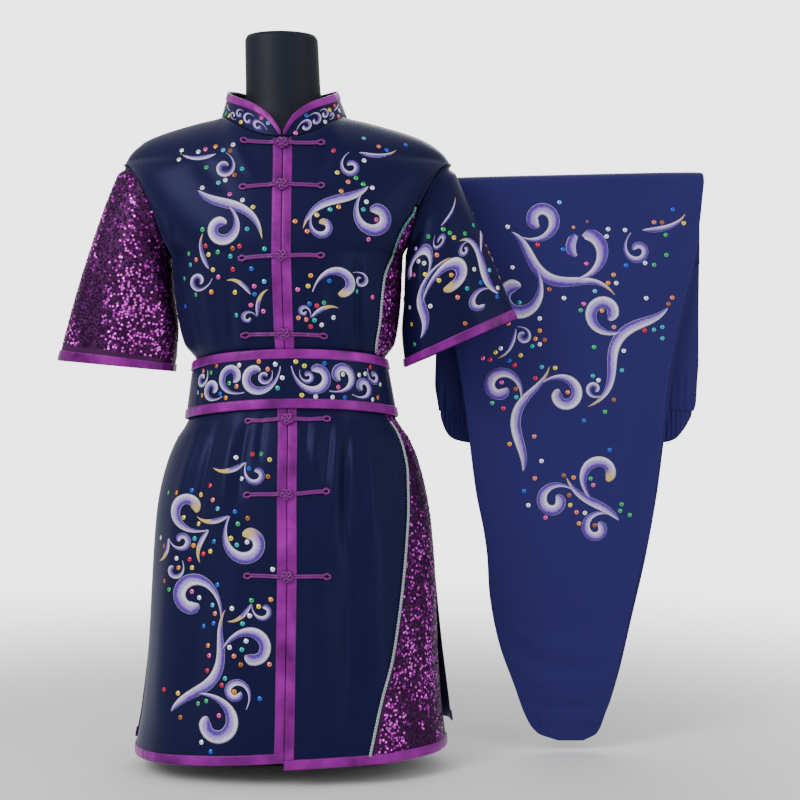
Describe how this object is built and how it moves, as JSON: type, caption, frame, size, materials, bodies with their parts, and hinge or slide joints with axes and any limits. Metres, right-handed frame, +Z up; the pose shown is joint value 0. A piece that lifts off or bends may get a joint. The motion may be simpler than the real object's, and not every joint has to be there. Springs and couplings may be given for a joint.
{
  "type": "martial arts uniform on dress form",
  "caption": "Wushu uniform: short-sleeved satin jacket and belt on a limbless dress form, with the folded trousers hung beside it on the stand's arm.",
  "frame": {"origin": "underside of the base plate, on the axis of the pole", "axes": "+Z up, +X to the right as seen from the front, +Y to the back"},
  "size_m": [0.9162, 0.3792, 1.013],
  "materials": {
    "navy_satin": "smooth satin",
    "trouser_satin": "smooth satin",
    "purple_satin": "satin binding",
    "sequin_cloth": "covered with small sequins",
    "silver_braid": "metallic braid",
    "purple_cord": "satin cord",
    "form_black": "smooth, slightly satin",
    "stand_steel": "black"
  },
  "bodies": {
    "root": {"jacket_front_right": "navy_satin", "jacket_front_left": "navy_satin", "jacket_side_panel_left": "sequin_cloth", "jacket_back": "navy_satin", "sleeve_right": "sequin_cloth", "sleeve_left": "navy_satin", "cuff_tape_right": "purple_satin", "cuff_tape_left": "purple_satin", "collar": "navy_satin", "collar_tape": "purple_satin", "placket_tape_right": "purple_satin", "placket_tape_left": "purple_satin", "hem_tape_front_right": "purple_satin", "hem_tape_front_left": "purple_satin", "hem_tape_side_panel_left": "purple_satin", "hem_tape_back": "purple_satin", "side_braid_skirt": "silver_braid", "side_braid_bodice": "silver_braid", "belt": "navy_satin", "belt_tape_lower": "purple_satin", "belt_tape_upper": "purple_satin", "frog_1_knot": "purple_cord", "frog_1_strap_right": "purple_cord", "frog_1_strap_left": "purple_cord", "frog_2_knot": "purple_cord", "frog_2_strap_right": "purple_cord", "frog_2_strap_left": "purple_cord", "frog_3_knot": "purple_cord", "frog_3_strap_right": "purple_cord", "frog_3_strap_left": "purple_cord", "frog_4_knot": "purple_cord", "frog_4_strap_right": "purple_cord", "frog_4_strap_left": "purple_cord", "frog_5_knot": "purple_cord", "frog_5_strap_right": "purple_cord", "frog_5_strap_left": "purple_cord", "frog_6_knot": "purple_cord", "frog_6_strap_right": "purple_cord", "frog_6_strap_left": "purple_cord", "frog_7_knot": "purple_cord", "frog_7_strap_right": "purple_cord", "frog_7_strap_left": "purple_cord", "trouser_leg_front": "trouser_satin", "trouser_leg_back": "trouser_satin", "trouser_seat": "trouser_satin", "trouser_waistband": "trouser_satin", "dress_form": "form_black", "stand_base": "stand_steel", "stand_flange": "stand_steel", "stand_pole": "stand_steel", "trouser_arm": "stand_steel"}
  },
  "joints": []
}
